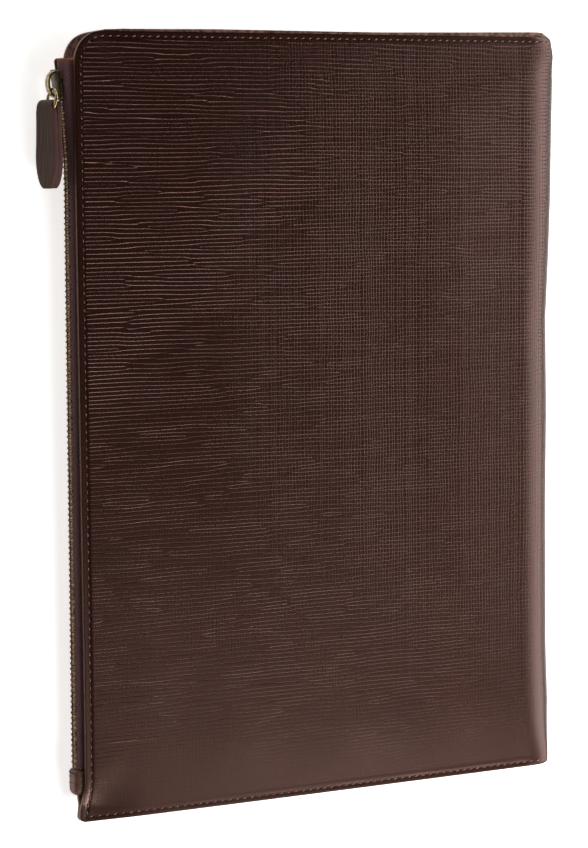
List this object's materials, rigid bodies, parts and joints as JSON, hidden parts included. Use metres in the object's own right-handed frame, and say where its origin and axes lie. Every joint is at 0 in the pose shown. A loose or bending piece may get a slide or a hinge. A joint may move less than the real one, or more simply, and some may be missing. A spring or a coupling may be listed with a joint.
{
  "type": "document folder",
  "caption": "Slim document folder: one folded sheet of grained leather, sewn along top and bottom, closed along one long side by a metal zip with a leather pull tab.",
  "frame": {"origin": "on the outside of the flat back wall, level with the middle of the sheet, where the folder lies on a surface", "axes": "+X from the zip edge to the fold, +Y from the bottom seam to the top seam, +Z out of the front wall"},
  "size_m": [0.2535, 0.3423, 0.015],
  "materials": {
    "leather": "satin, cross-boarded grain",
    "zip_tape": "twill woven",
    "antique_brass": "darkened, polished on the edges"
  },
  "bodies": {
    "root": {"leather_shell": "leather", "zip_tape_front": "zip_tape", "zip_tape_back": "zip_tape", "zip_teeth_front": "antique_brass", "zip_teeth_back": "antique_brass", "zip_slider": "antique_brass", "pull_ring": "antique_brass", "pull_tab": "leather", "zip_end_tab": "leather"}
  },
  "joints": []
}
